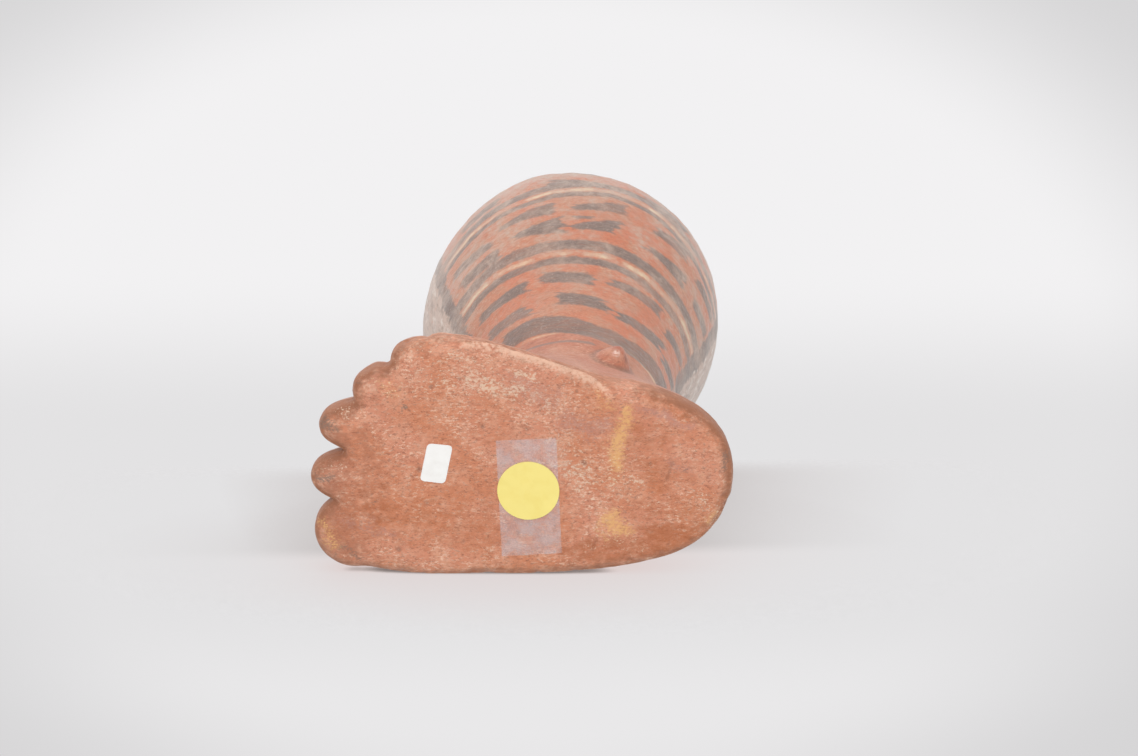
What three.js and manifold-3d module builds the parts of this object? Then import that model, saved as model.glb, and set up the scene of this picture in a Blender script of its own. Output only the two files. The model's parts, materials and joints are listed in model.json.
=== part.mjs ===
// Foot and calf vessel: a hand-built earthenware jar in the shape of a left foot with its lower leg.
// The potter lutes separate pieces of clay together: a sole slab, a shell over heel and instep,
// toe rolls, ankle pellets and the rings of the leg. Each of them is a solid of its own here.
// Millimetres, +Z up. The flat sole lies on z = 0 and the leg stands on the Z axis.
// Toes point to -Y, and the outer (little toe) side of the foot is +X.
import * as THREE from 'three';
import { mergeVertices } from 'three/addons/utils/BufferGeometryUtils.js';
import Module from 'manifold-3d';

const wasm = await Module();
wasm.setup();

// Clay
const WALL = 6.5;
const SEAM_GAP = 0.3;
const SEAM_RISE = 4;

// Sole slab
const SOLE_THICKNESS = 9.5;
const SOLE_EDGE_ROUND = 4;
const SOLE_OUTLINE = [
  [40.2, -38], [34.6, -14], [27.4, 7], [24.1, 23], [17.8, 38], [9, 47],
  [-3, 50.2], [-15.5, 47.2], [-26, 38.5], [-31.5, 25], [-35, 2], [-36.3, -27],
  [-35.6, -57], [-31, -69.5], [-13, -72], [3.5, -69.6], [20.5, -64], [32.4, -53],
];

// Toes, from the big toe out: place of the tip, width and height of the roll,
// how pointed the tip is (1 is round), and the angle that it fans out from straight ahead, in degrees
const TOE_NAMES = ['big_toe', 'second_toe', 'third_toe', 'fourth_toe', 'little_toe'];
const TOE_TIPS = [[-23.8, -78.7], [-4.4, -79.2], [12, -76], [27, -64.3], [37.3, -52]];
const TOE_WIDTHS = [23, 16, 16.2, 16, 14.4];
const TOE_HEIGHTS = [10.5, 9.5, 9, 8.5, 7.5];
const TOE_POINTS = [1.05, 1.7, 1.6, 1.1, 1.05];
const TOE_FANS = [-3, 3, 6, 32, 45];
const TOE_LENGTH = 30;
const TOE_SETBACK = 0.3;
const TOE_ROOT_INNER = [-36, -56];
const TOE_ROOT_OUTER = [40, -34];
const TOE_ROOT_ROUND = 8;

// Slope of the foot up to the ankle: how long it stays full, and how it then sweeps in
const INSTEP_HOLD = 1.35;
const INSTEP_SWEEP = 1.5;
const FLANK_HOLD = 1;
const FLANK_SWEEP = 2.2;

// Ankle knobs: place on the foot, width and reach of the pellet
const KNOB_HEIGHT = 30;
const KNOB_BEARING = 30;
const KNOB_WIDTH = 12;
const KNOB_REACH = 5;
const KNOB_TIP_ROUND = 1.8;
const KNOB_ROOT = 3;

// Leg: height and outer radius at the ankle, mid calf, fullest calf, neck and mouth
const ANKLE_HEIGHT = 30;
const ANKLE_RADIUS = 26.3;
const ANKLE_FLARE = 0.2;
const MID_CALF_HEIGHT = 100;
const MID_CALF_RADIUS = 44.2;
const MID_CALF_FLARE = 0.33;
const CALF_HEIGHT = 147;
const CALF_RADIUS = 53.2;
const NECK_HEIGHT = 188;
const NECK_RADIUS = 38.5;
const MOUTH_HEIGHT = 200;
const MOUTH_RADIUS = 43;
const MOUTH_FLARE = 0.7;

// Seams between the foot and the rings of the leg, measured on the outside
const FOOT_SEAM = 44;
const ANKLE_SEAM = 68;
const CALF_SEAM = 112;
const SHOULDER_SEAM = 166;

// Fineness of the facets
const AROUND = 48;
const OUTLINE_STEPS = 72;
const FOOT_LEVELS = 8;
const RING_STEP = 8;
const LIP_STEPS = 6;
const EDGE_STEPS = 3;

const FOOT_BASE = SOLE_THICKNESS + SEAM_GAP;
const TOES = TOE_NAMES.map((name, i) => ({
  name,
  tip: TOE_TIPS[i],
  width: TOE_WIDTHS[i],
  height: TOE_HEIGHTS[i],
  point: TOE_POINTS[i],
  fan: THREE.MathUtils.degToRad(TOE_FANS[i]),
}));

// Finishes
function firedClay(color, roughness) {
  return new THREE.MeshStandardMaterial({ color, roughness, metalness: 0 });
}

const vessel = new THREE.Group();

function addPiece(name, geometry, material) {
  const mesh = new THREE.Mesh(geometry, material);
  mesh.name = name;
  vessel.add(mesh);
}

// Solids for joining and cutting
function toSolid(geometry) {
  const bare = geometry.clone();
  bare.deleteAttribute('normal');
  bare.deleteAttribute('uv');
  const merged = mergeVertices(bare);
  const index = merged.index.array;
  const triangles = [];
  for (let i = 0; i < index.length; i += 3) {
    const [a, b, c] = [index[i], index[i + 1], index[i + 2]];
    const collapsed = a === b || b === c || c === a;
    if (!collapsed) triangles.push(a, b, c);
  }
  const vertProperties = new Float32Array(merged.attributes.position.array);
  const triVerts = new Uint32Array(triangles);
  return new wasm.Manifold(new wasm.Mesh({ numProp: 3, vertProperties, triVerts }));
}

function toGeometry(solid) {
  const mesh = solid.getMesh();
  const geometry = new THREE.BufferGeometry();
  geometry.setAttribute('position', new THREE.BufferAttribute(mesh.vertProperties, 3));
  geometry.setIndex(new THREE.BufferAttribute(mesh.triVerts, 1));
  geometry.computeVertexNormals();
  return geometry;
}

// A block wider than the vessel between two heights, for trimming
function layer(bottom, top) {
  const width = 4 * MOUTH_HEIGHT;
  const block = new THREE.BoxGeometry(width, width, top - bottom);
  block.translate(0, 0, (bottom + top) / 2);
  return toSolid(block);
}

// Leg profile
const LEG_STATIONS = [
  { height: ANKLE_HEIGHT, radius: ANKLE_RADIUS, flare: ANKLE_FLARE },
  { height: MID_CALF_HEIGHT, radius: MID_CALF_RADIUS, flare: MID_CALF_FLARE },
  { height: CALF_HEIGHT, radius: CALF_RADIUS, flare: 0 },
  { height: NECK_HEIGHT, radius: NECK_RADIUS, flare: 0 },
  { height: MOUTH_HEIGHT, radius: MOUTH_RADIUS, flare: MOUTH_FLARE },
];

// Outer radius of the leg at a height: a smooth cubic between stations, straight below the ankle
function legRadius(height) {
  if (height <= ANKLE_HEIGHT) return ANKLE_RADIUS;
  let upper = LEG_STATIONS.findIndex((station) => station.height >= height);
  if (upper < 0) upper = LEG_STATIONS.length - 1;
  const from = LEG_STATIONS[upper - 1];
  const to = LEG_STATIONS[upper];
  const span = to.height - from.height;
  const t = (height - from.height) / span;
  const ease = t * t * (3 - 2 * t);
  const leaving = from.flare * span * t * (1 - t) * (1 - t);
  const arriving = to.flare * span * t * t * (t - 1);
  return from.radius + (to.radius - from.radius) * ease + leaving + arriving;
}

function heightsBetween(bottom, top) {
  const steps = Math.ceil((top - bottom) / RING_STEP);
  return Array.from({ length: steps + 1 }, (_, i) => bottom + ((top - bottom) * i) / steps);
}

// One ring of the leg. Its edges slope up towards the inside, so each ring keys onto the one below.
function legRing(bottom, top, lip) {
  const outer = heightsBetween(bottom, top).map((z) => new THREE.Vector2(legRadius(z), z));
  const innerTop = lip ? top : top + SEAM_RISE;
  const inner = heightsBetween(bottom + SEAM_RISE, innerTop)
    .reverse()
    .map((z) => new THREE.Vector2(legRadius(z) - WALL, z));
  const rounding = [];
  for (let i = 1; lip && i < LIP_STEPS; i++) {
    const turn = (Math.PI * i) / LIP_STEPS;
    const middle = legRadius(top) - WALL / 2;
    rounding.push(new THREE.Vector2(middle + (WALL / 2) * Math.cos(turn), top + (WALL / 2) * Math.sin(turn)));
  }
  const profile = [...outer, ...rounding, ...inner];
  profile.push(profile[0].clone());
  const ring = new THREE.LatheGeometry(profile, AROUND);
  ring.rotateX(Math.PI / 2);
  return toGeometry(toSolid(ring));
}

// Plan of the sole
const soleCurve = new THREE.CatmullRomCurve3(
  SOLE_OUTLINE.map(([x, y]) => new THREE.Vector3(x, y, 0)),
  true,
  'centripetal',
);
const solePoints = soleCurve.getPoints(OUTLINE_STEPS).slice(0, -1).map((p) => new THREE.Vector2(p.x, p.y));

// A flat piece of clay standing on z = 0 with a rounded lower edge
function roundedSlab(shape) {
  const slab = new THREE.ExtrudeGeometry(shape, {
    depth: SOLE_THICKNESS,
    bevelThickness: SOLE_EDGE_ROUND,
    bevelSize: SOLE_EDGE_ROUND,
    bevelOffset: -SOLE_EDGE_ROUND,
    bevelSegments: EDGE_STEPS,
    curveSegments: AROUND / 4,
  });
  slab.translate(0, 0, SOLE_EDGE_ROUND);
  return slab;
}

// Turns and moves a piece drawn along -Y with the middle of its round end on the origin to a toe's place
function placeAsToe(geometry, toe) {
  const reach = (toe.width / 2) * toe.point;
  const [tipX, tipY] = toe.tip;
  geometry.rotateZ(toe.fan);
  geometry.translate(tipX - reach * Math.sin(toe.fan), tipY + reach * Math.cos(toe.fan), 0);
  return geometry;
}

function toePad(toe) {
  const half = toe.width / 2;
  const plan = new THREE.Shape();
  plan.absellipse(0, 0, half, half * toe.point, Math.PI, 2 * Math.PI);
  plan.lineTo(half, TOE_LENGTH - half);
  plan.lineTo(-half, TOE_LENGTH - half);
  return placeAsToe(roundedSlab(plan), toe);
}

function makeSoleSlab() {
  let slab = toSolid(roundedSlab(new THREE.Shape(solePoints)));
  for (const toe of TOES) slab = slab.add(toSolid(toePad(toe)));
  return toGeometry(slab.subtract(layer(SOLE_THICKNESS, MOUTH_HEIGHT)));
}

// Distance from the leg axis to the edge of the sole along a bearing
function soleReach(bearing) {
  const [dx, dy] = [Math.cos(bearing), Math.sin(bearing)];
  let reach = 0;
  solePoints.forEach((from, i) => {
    const to = solePoints[(i + 1) % solePoints.length];
    const [ex, ey] = [to.x - from.x, to.y - from.y];
    const turn = dx * ey - dy * ex;
    const along = (from.x * ey - from.y * ex) / turn;
    const share = (from.x * dy - from.y * dx) / turn;
    if (along > 0 && share >= 0 && share <= 1) reach = Math.max(reach, along);
  });
  return reach;
}

// Distance from the leg axis to the line of the toe roots, endless where the bearing misses it
function toeRootReach(bearing) {
  const [ax, ay] = TOE_ROOT_INNER;
  const [ex, ey] = [TOE_ROOT_OUTER[0] - ax, TOE_ROOT_OUTER[1] - ay];
  const along = (ax * ey - ay * ex) / (Math.cos(bearing) * ey - Math.sin(bearing) * ex);
  return along > 0 ? along : Infinity;
}

// Plan of the foot shell: the sole's edge, drawn in behind the toes with a rounded corner
function footReach(bearing) {
  const sole = soleReach(bearing);
  const root = toeRootReach(bearing);
  const apart = Math.abs(sole - root);
  const corner = Math.max(TOE_ROOT_ROUND - apart, 0);
  return Math.min(sole, root) - (corner * corner) / (4 * TOE_ROOT_ROUND);
}

// How the foot draws in to the ankle: 1 at the sole and 0 at the seam.
// Heel and instep stay fuller than the sides.
function footTaper(bearing, share) {
  const side = Math.cos(bearing) ** 2;
  const hold = THREE.MathUtils.lerp(INSTEP_HOLD, FLANK_HOLD, side);
  const sweep = THREE.MathUtils.lerp(INSTEP_SWEEP, FLANK_SWEEP, side);
  return (1 - share ** hold) ** sweep;
}

function footRadius(bearing, height) {
  const share = THREE.MathUtils.clamp((height - FOOT_BASE) / (FOOT_SEAM - FOOT_BASE), 0, 1);
  const leg = legRadius(height);
  return leg + (footReach(bearing) - legRadius(FOOT_BASE)) * footTaper(bearing, share);
}

// Joins the closed wall sections at every bearing round the leg axis into one ring
function sectionRing(sectionAt) {
  const positions = [];
  const indices = [];
  let count = 0;
  for (let i = 0; i < AROUND; i++) {
    const bearing = (2 * Math.PI * i) / AROUND;
    const section = sectionAt(bearing);
    count = section.length;
    for (const [radius, height] of section) {
      positions.push(radius * Math.cos(bearing), radius * Math.sin(bearing), height);
    }
  }
  for (let i = 0; i < AROUND; i++) {
    const here = i * count;
    const next = ((i + 1) % AROUND) * count;
    for (let k = 0; k < count; k++) {
      const up = (k + 1) % count;
      indices.push(here + k, next + k, next + up);
      indices.push(here + k, next + up, here + up);
    }
  }
  const ring = new THREE.BufferGeometry();
  ring.setAttribute('position', new THREE.Float32BufferAttribute(positions, 3));
  ring.setIndex(indices);
  ring.computeVertexNormals();
  return ring;
}

function levels(bottom, top) {
  return Array.from({ length: FOOT_LEVELS + 1 }, (_, i) => bottom + ((top - bottom) * i) / FOOT_LEVELS);
}

function makeFootUpper() {
  return sectionRing((bearing) => {
    const outer = levels(FOOT_BASE, FOOT_SEAM).map((z) => [footRadius(bearing, z), z]);
    const inner = levels(FOOT_BASE, FOOT_SEAM + SEAM_RISE).map((z) => [footRadius(bearing, z) - WALL, z]);
    return [...outer, ...inner.reverse()];
  });
}

// The space that the foot and leg take up, with the seam all round, for seating toes and knobs on it
function footSeat() {
  const core = WALL / 2;
  const edge = (bearing, z) => [footRadius(bearing, z) + SEAM_GAP, z];
  return toSolid(
    sectionRing((bearing) => {
      const foot = levels(FOOT_BASE, FOOT_SEAM).map((z) => edge(bearing, z));
      return [edge(bearing, 0), ...foot, edge(bearing, ANKLE_SEAM), [core, ANKLE_SEAM], [core, 0]];
    }),
  );
}

// Toe rolls
function toeRoll(toe, grow) {
  const half = toe.width / 2 - TOE_SETBACK + grow;
  const roll = new THREE.CapsuleGeometry(half, TOE_LENGTH - toe.width, EDGE_STEPS + 1, AROUND / 3, 1);
  roll.translate(0, (TOE_LENGTH - toe.width) / 2, 0);
  const spots = roll.attributes.position;
  for (let i = 0; i < spots.count; i++) {
    const y = spots.getY(i);
    if (y < 0) spots.setY(i, y * toe.point);
  }
  roll.scale(1, 1, (toe.height + grow) / half);
  placeAsToe(roll, toe);
  roll.translate(0, 0, SOLE_THICKNESS);
  return toSolid(roll);
}

function makeToes(seat) {
  const below = layer(-SOLE_THICKNESS, FOOT_BASE);
  TOES.forEach((toe, i) => {
    let roll = toeRoll(toe, 0).subtract(below).subtract(seat);
    if (i > 0) roll = roll.subtract(toeRoll(TOES[i - 1], SEAM_GAP));
    addPiece(toe.name, toGeometry(roll), firedClay('#a9664a', 0.8));
  });
}

// Ankle knobs: pellets with a blunt tip, pressed onto the foot
function makeKnob(name, bearing, seat) {
  const blunt = KNOB_TIP_ROUND;
  const profile = new THREE.Path();
  profile.moveTo(0, -KNOB_ROOT);
  profile.lineTo(KNOB_WIDTH / 2, -KNOB_ROOT);
  profile.lineTo(KNOB_WIDTH / 2, 0);
  profile.quadraticCurveTo(KNOB_WIDTH / 2, KNOB_REACH / 2, blunt, KNOB_REACH - blunt / 2);
  profile.quadraticCurveTo(blunt / 2, KNOB_REACH, 0, KNOB_REACH);
  const pellet = new THREE.LatheGeometry(profile.getPoints(EDGE_STEPS), AROUND / 3);
  pellet.rotateZ(-Math.PI / 2);
  pellet.translate(footRadius(bearing, KNOB_HEIGHT), 0, 0);
  pellet.rotateZ(bearing);
  pellet.translate(0, 0, KNOB_HEIGHT);
  addPiece(name, toGeometry(toSolid(pellet).subtract(seat)), firedClay('#a6452f', 0.4));
}

const seat = footSeat();
const knobBearing = THREE.MathUtils.degToRad(KNOB_BEARING);
const lipBase = MOUTH_HEIGHT - WALL / 2;

addPiece('sole_slab', makeSoleSlab(), firedClay('#b0633f', 0.85));
addPiece('foot_upper', makeFootUpper(), firedClay('#ad5a40', 0.7));
makeToes(seat);
makeKnob('outer_ankle_knob', knobBearing, seat);
makeKnob('inner_ankle_knob', Math.PI - knobBearing, seat);
addPiece('ankle_wall', legRing(FOOT_SEAM + SEAM_GAP, ANKLE_SEAM, false), firedClay('#a85540', 0.45));
addPiece('lower_calf_wall', legRing(ANKLE_SEAM + SEAM_GAP, CALF_SEAM, false), firedClay('#b15b42', 0.45));
addPiece('upper_calf_wall', legRing(CALF_SEAM + SEAM_GAP, SHOULDER_SEAM, false), firedClay('#b15b42', 0.45));
addPiece('rim_ring', legRing(SHOULDER_SEAM + SEAM_GAP, lipBase, true), firedClay('#9d5640', 0.5));

export default vessel;
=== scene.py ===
# %% [markdown]
# # A clay jar in the shape of a foot and calf
# The jar is hand-built earthenware: a slab for the sole, a hollow shell for the foot, rolls for the toes and four
# rings for the leg, all covered with red slip and painted with grey-brown strokes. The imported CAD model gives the
# size and place of every piece. This lesson turns those clean solids into worn, hand-smoothed clay.

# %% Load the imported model
import json
import math
from functools import partial

import bmesh
import bpy
import numpy as np
from mathutils import Matrix, Vector
from mathutils.bvhtree import BVHTree
from mathutils.kdtree import KDTree

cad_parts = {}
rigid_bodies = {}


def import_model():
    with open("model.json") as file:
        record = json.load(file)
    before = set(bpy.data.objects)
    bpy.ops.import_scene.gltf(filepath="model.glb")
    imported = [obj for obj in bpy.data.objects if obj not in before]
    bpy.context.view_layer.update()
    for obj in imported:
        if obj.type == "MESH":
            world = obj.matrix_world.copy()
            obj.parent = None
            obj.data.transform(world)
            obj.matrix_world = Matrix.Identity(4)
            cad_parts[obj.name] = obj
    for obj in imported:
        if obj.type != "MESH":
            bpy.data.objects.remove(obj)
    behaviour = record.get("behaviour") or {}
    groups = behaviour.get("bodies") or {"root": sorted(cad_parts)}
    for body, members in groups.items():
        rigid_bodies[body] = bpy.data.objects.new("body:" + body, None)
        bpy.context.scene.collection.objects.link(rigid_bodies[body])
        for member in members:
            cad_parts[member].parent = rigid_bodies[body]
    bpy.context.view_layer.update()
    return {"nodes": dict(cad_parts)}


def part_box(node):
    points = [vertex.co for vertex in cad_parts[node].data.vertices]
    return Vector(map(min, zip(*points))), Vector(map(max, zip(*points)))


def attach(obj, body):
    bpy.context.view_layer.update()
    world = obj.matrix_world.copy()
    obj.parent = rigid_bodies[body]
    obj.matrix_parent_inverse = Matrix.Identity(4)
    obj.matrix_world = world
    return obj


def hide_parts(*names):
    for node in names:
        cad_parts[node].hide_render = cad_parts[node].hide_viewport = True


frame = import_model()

MM = 0.001
print("CAD nodes:", ", ".join(frame["nodes"]))

# %% [markdown]
# ## Camera
# The photograph looks up at the sole while the jar lies on the inner side of the foot. Here the jar stands upright on
# its sole, so the camera goes below it and is rolled until the outer side of the foot is at the top of the picture.
# A camera's axes can be set by angles, but three known directions are easier to read: right, up and view.

# %% Place the camera
CAMERA_PLACE = Vector((265.4, 4.1, -686.9)) * MM
VIEW_DIRECTION = Vector((-0.3257, -0.0057, 0.9455)).normalized()
PICTURE_RIGHT = Vector((0, 1, 0.006)).normalized()
LENS, SENSOR_WIDTH = 50, 23.6

picture_up = PICTURE_RIGHT.cross(VIEW_DIRECTION).normalized()
camera_data = bpy.data.cameras.new("photo_camera")
camera_data.lens, camera_data.sensor_width = LENS, SENSOR_WIDTH
camera_data.clip_start, camera_data.clip_end = 0.01, 20
camera = bpy.data.objects.new("photo_camera", camera_data)
bpy.context.scene.collection.objects.link(camera)
camera.matrix_world = Matrix.Translation(CAMERA_PLACE) @ Matrix(
    (PICTURE_RIGHT, picture_up, -VIEW_DIRECTION)).transposed().to_4x4()
bpy.context.scene.camera = camera
bpy.context.scene.view_settings.view_transform = "Standard"
print("camera at", [round(c, 3) for c in camera.matrix_world.translation])

# %% [markdown]
# ## Colours and nodes
# Colours are written as the sRGB hex values that an eye or a paint program would read, and one function turns them
# into the linear numbers that shaders need. One more small function adds any node, sets it and links it, so that a
# material can be read as a list of layers.

# %% Helpers for materials
def linear(hex_colour):
    parts = [int(hex_colour[i:i + 2], 16) / 255 for i in (1, 3, 5)]
    return (*[c / 12.92 if c <= 0.04045 else ((c + 0.055) / 1.055) ** 2.4 for c in parts], 1)


def add(tree, kind, inputs=(), out=0, **settings):
    """Adds one node and returns its output number out. A value in inputs is a socket to link or a constant to set."""
    node = tree.nodes.new(kind)
    for name, value in settings.items():
        setattr(node, name, value)
    for name, value in dict(inputs).items():
        if isinstance(value, bpy.types.NodeSocket):
            tree.links.new(value, node.inputs[name])
        else:
            node.inputs[name].default_value = value
    return node.outputs[out] if node.outputs else node


def new_material(name):
    material = bpy.data.materials.new(name)
    material.use_nodes = True
    material.node_tree.nodes.clear()
    return material, partial(add, material.node_tree)


print("slip red in linear:", [round(c, 3) for c in linear("#d08f72")])

# %% [markdown]
# ## Light and background
# The photograph is a plain studio picture: white paper under and behind the jar, soft light from above and in front,
# shadows that hardly show. Ambient light from the world gives the softness, four large lamps give direction, and a
# small one puts a glint on polished spots. The backdrop is the world's own colour, so it needs no extra light on the
# jar. Seen from below, as in the photograph, it carries painted light and shade: a little greyer towards the table,
# brighter again towards the front and darker in the corners.

# %% Helpers for masks
def soft_mask(n, measure, low, high, top=1.0):
    """0 where a measure is at low, top where it is at high, smooth between. A name stands for a layer of the mesh."""
    if isinstance(measure, str):
        measure = n("ShaderNodeAttribute", attribute_name=measure, out="Fac")
    return n("ShaderNodeMapRange", {0: measure, 1: low, 2: high, 4: top}, interpolation_type="SMOOTHSTEP")


def overlap(n, *masks):
    """Where all masks meet: their product."""
    shared = masks[0]
    for mask in masks[1:]:
        shared = n("ShaderNodeMath", {0: shared, 1: mask}, operation="MULTIPLY")
    return shared


print("mask helpers ready")

# %% Colour the backdrop
BACKDROP, TABLE, FRONT, CORNER = "#f2f1f2", "#e3e2e3", "#e9e8e9", "#d3d2d3"
AMBIENT = 0.54
CENTRE_SHIFT, CORNER_SQUASH = 0.010, 1.5

world = bpy.data.worlds.new("white_studio")
bpy.context.scene.world = world
world.use_nodes = True
world.node_tree.nodes.clear()
w = partial(add, world.node_tree)
ray = w("ShaderNodeTexCoord", out="Generated")
upward = soft_mask(w, w("ShaderNodeSeparateXYZ", {0: ray}, out="Z"), 0.75, 0.88)
aside, rise = (w("ShaderNodeVectorMath", {0: ray, 1: axis}, out="Value", operation="DOT_PRODUCT")
               for axis in (PICTURE_RIGHT, picture_up))
centred = w("ShaderNodeMath", {0: aside, 1: CENTRE_SHIFT}, operation="ADD")
spread = w("ShaderNodeCombineXYZ", {0: centred, 1: overlap(w, rise, CORNER_SQUASH)})
spread = w("ShaderNodeVectorMath", {0: spread}, out="Value", operation="LENGTH")
backdrop = linear(BACKDROP)
# Painted shade towards the table and in the corners, painted light towards the front.
for colour, tinted in ((TABLE, soft_mask(w, rise, 0.045, -0.020)),
                       (FRONT, soft_mask(w, rise, -0.090, -0.135)),
                       (CORNER, soft_mask(w, spread, 0.215, 0.33, 0.9))):
    backdrop = w("ShaderNodeMix", {0: overlap(w, tinted, upward), 6: backdrop, 7: linear(colour)}, out=2,
                 data_type="RGBA")
seen = w("ShaderNodeLightPath", out="Is Camera Ray")
for kind in ("Is Glossy Ray", "Is Transmission Ray"):
    seen = w("ShaderNodeMath", {0: seen, 1: w("ShaderNodeLightPath", out=kind)}, operation="MAXIMUM")
w("ShaderNodeOutputWorld", {"Surface": w("ShaderNodeMixShader", {
    0: seen,
    1: w("ShaderNodeBackground", {"Color": (1, 1, 1, 1), "Strength": AMBIENT}),
    2: w("ShaderNodeBackground", {"Color": backdrop, "Strength": 1})})})

print("backdrop of", len(world.node_tree.nodes), "nodes")

# %% Hang the lamps
LAMPS = {
    "softbox_above": ((0.95, 0.15, -0.15), 0.9, 2.4),
    "softbox_front": ((0.46, -0.10, -0.88), 0.8, 4.6),
    "softbox_behind": ((0.70, -0.30, 0.62), 0.9, 1.6),
    "softbox_inner": ((-0.75, 0.30, 0.60), 0.9, 2.6),
    "small_lamp": ((0.72, -0.61, -0.32), 0.12, 0.5),
}

for name, (place, size, power) in LAMPS.items():
    lamp = bpy.data.lights.new(name, "AREA")
    lamp.shape, lamp.size, lamp.energy = "DISK", size, power
    lamp_object = bpy.data.objects.new(name, lamp)
    lamp_object.location = place
    lamp_object.rotation_euler = (-Vector(place)).to_track_quat("-Z", "Y").to_euler()
    bpy.context.scene.collection.objects.link(lamp_object)
print("lamps:", ", ".join(LAMPS))

# %% [markdown]
# ## Floor
# Two sheets of white paper show the soft shadows, painted into their colour. The first lies where the photograph's
# table is, against the inner side of the foot. It is pleated in fine steps whose faces all look down, so it is seen
# from the photograph's camera and not from above, where it would stand beside the jar like a wall. It ends below the
# eye level of low side views, which would see it from underneath. The second sheet lies under the sole, for views of
# the jar standing up. Each shows only from its own front and fades into the backdrop away from the jar. In the even
# light of a white studio, paper darkens only where the jar stands close over it, which is what ambient occlusion
# measures. The lamps don't light these sheets: each shines with its own colour, and ambient occlusion paints in a
# faint red glow of light from the clay in front of the jar, a grey shade behind its front edge and a thin dark shadow
# line where clay and paper touch.

# %% Make a sheet of paper
# The lamps don't reach the paper: its shade, glow and contact line are painted into its colour from ambient occlusion.
CONTACT, CONTACT_REACH = "#857a76", 0.003
SHADE_EDGE, TOP_EDGE = 0.008, 0.03
BACKWARD = (0, -0.06, 1)
OCCLUSION_SAMPLES = 16


def lay_paper(name, colours, place, faces, painted_light_from, reach, shade_from, top, squash, fade_from, fade_to):
    """Faces are rings of corners round place, in metres. Colours are open paper, painted glow and painted shade.

    Shade starts behind the depth shade_from and reaches so far from the jar; the sheet ends at the depth top and
    fades from fade_from to fade_to around its place, with depths counted squash times.
    """
    bm = bmesh.new()
    for corners in faces:
        bm.faces.new([bm.verts.new(corner) for corner in corners])
    mesh = bpy.data.meshes.new(name)
    bm.to_mesh(mesh)
    bm.free()
    sheet = bpy.data.objects.new(name, mesh)
    sheet.location = place
    sheet.visible_diffuse = sheet.visible_glossy = sheet.visible_transmission = sheet.visible_shadow = False
    bpy.context.scene.collection.objects.link(sheet)
    material, n = new_material(name)
    open_paper, painted_glow, shade = (linear(colour) for colour in colours)
    spot = n("ShaderNodeTexCoord", out="Object")
    depth = n("ShaderNodeVectorMath", {0: spot, 1: BACKWARD}, out="Value", operation="DOT_PRODUCT")
    squashed = n("ShaderNodeVectorMath", {0: spot, 1: (1, 1, squash)}, operation="MULTIPLY")
    away = n("ShaderNodeVectorMath", {0: squashed}, out="Value", operation="LENGTH")
    front = n("ShaderNodeMath", {0: 1.0, 1: n("ShaderNodeNewGeometry", out="Backfacing")}, operation="SUBTRACT")
    shows = overlap(n, soft_mask(n, away, fade_to, fade_from), front, soft_mask(n, depth, top, top - TOP_EDGE))
    side = n("ShaderNodeCombineXYZ", dict(enumerate(painted_light_from)))
    open_sky, clear = (n("ShaderNodeAmbientOcclusion", {"Distance": distance, "Normal": side}, out="AO",
                         samples=OCCLUSION_SAMPLES) for distance in (reach, CONTACT_REACH))
    tone = n("ShaderNodeMix", {0: open_sky, 6: painted_glow, 7: open_paper}, out=2, data_type="RGBA")
    closed_in = n("ShaderNodeMath", {0: 1.0, 1: open_sky}, operation="SUBTRACT")
    covered = overlap(n, closed_in, soft_mask(n, depth, shade_from - SHADE_EDGE, shade_from + SHADE_EDGE))
    tone = n("ShaderNodeMix", {0: covered, 6: tone, 7: shade}, out=2, data_type="RGBA")
    tone = n("ShaderNodeMix", {0: soft_mask(n, clear, 0.1, 0.6), 6: linear(CONTACT), 7: tone}, out=2,
             data_type="RGBA")
    paper_with_painted_shade = n("ShaderNodeEmission", {"Color": tone, "Strength": 1})
    unseen = n("ShaderNodeBsdfTransparent")
    n("ShaderNodeOutputMaterial", {"Surface": n("ShaderNodeMixShader", {0: shows, 1: unseen, 2: paper_with_painted_shade})})
    mesh.materials.append(material)
    print(name, len(mesh.polygons), "faces")


print("the contact line is about", CONTACT_REACH / MM, "mm wide")

# %% Lay the paper
PLEAT, DROP, SLOPE = 0.001, 0.0005, 0.116
PLEAT_HALF, PAPER_HALF = 0.3, 1.5
FIRST_PLEAT, LAST_PLEAT = -350, 65
pleats = []
for z in (PLEAT * step for step in range(FIRST_PLEAT, LAST_PLEAT + 1)):
    near_x, far_x = -SLOPE * z, -SLOPE * z - DROP
    pleats.append([(x, y, z) for x, y in ((near_x, PLEAT_HALF), (near_x, -PLEAT_HALF), (far_x, -PLEAT_HALF),
                                          (far_x, PLEAT_HALF))])
flat = [[(x * PAPER_HALF, y * PAPER_HALF, 0) for x, y in ((-1, -1), (1, -1), (1, 1), (-1, 1))]]
lay_paper("table_paper", (TABLE, "#ddcbc8", "#989795"), (-0.0450, -0.01, 0.08), pleats, (0.97, 0.22, 0),
          reach=0.085, shade_from=-0.054, top=0.062, squash=1.3, fade_from=0.12, fade_to=0.19)
lay_paper("standing_paper", ("#ebeaeb", "#ebeaeb", "#bdbbbb"), (0, 0, -0.0004), flat, (0, 0, 1),
          reach=0.13, shade_from=-1, top=1, squash=2, fade_from=0.22, fade_to=0.75)

# %% [markdown]
# ## The clay body
# The real jar is one fired body: seams between its clay pieces were smoothed over with wet fingers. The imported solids
# have thin gaps there. Each is swelled a little so that neighbours overlap, a voxel remesh melts them together, and a
# smooth modifier rubs the joints down, which is close to what the potter's hand did.

# %% Melt the solids together
SWELL = 0.4
VOXEL = 0.7
RUB_PASSES = 9

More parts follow.
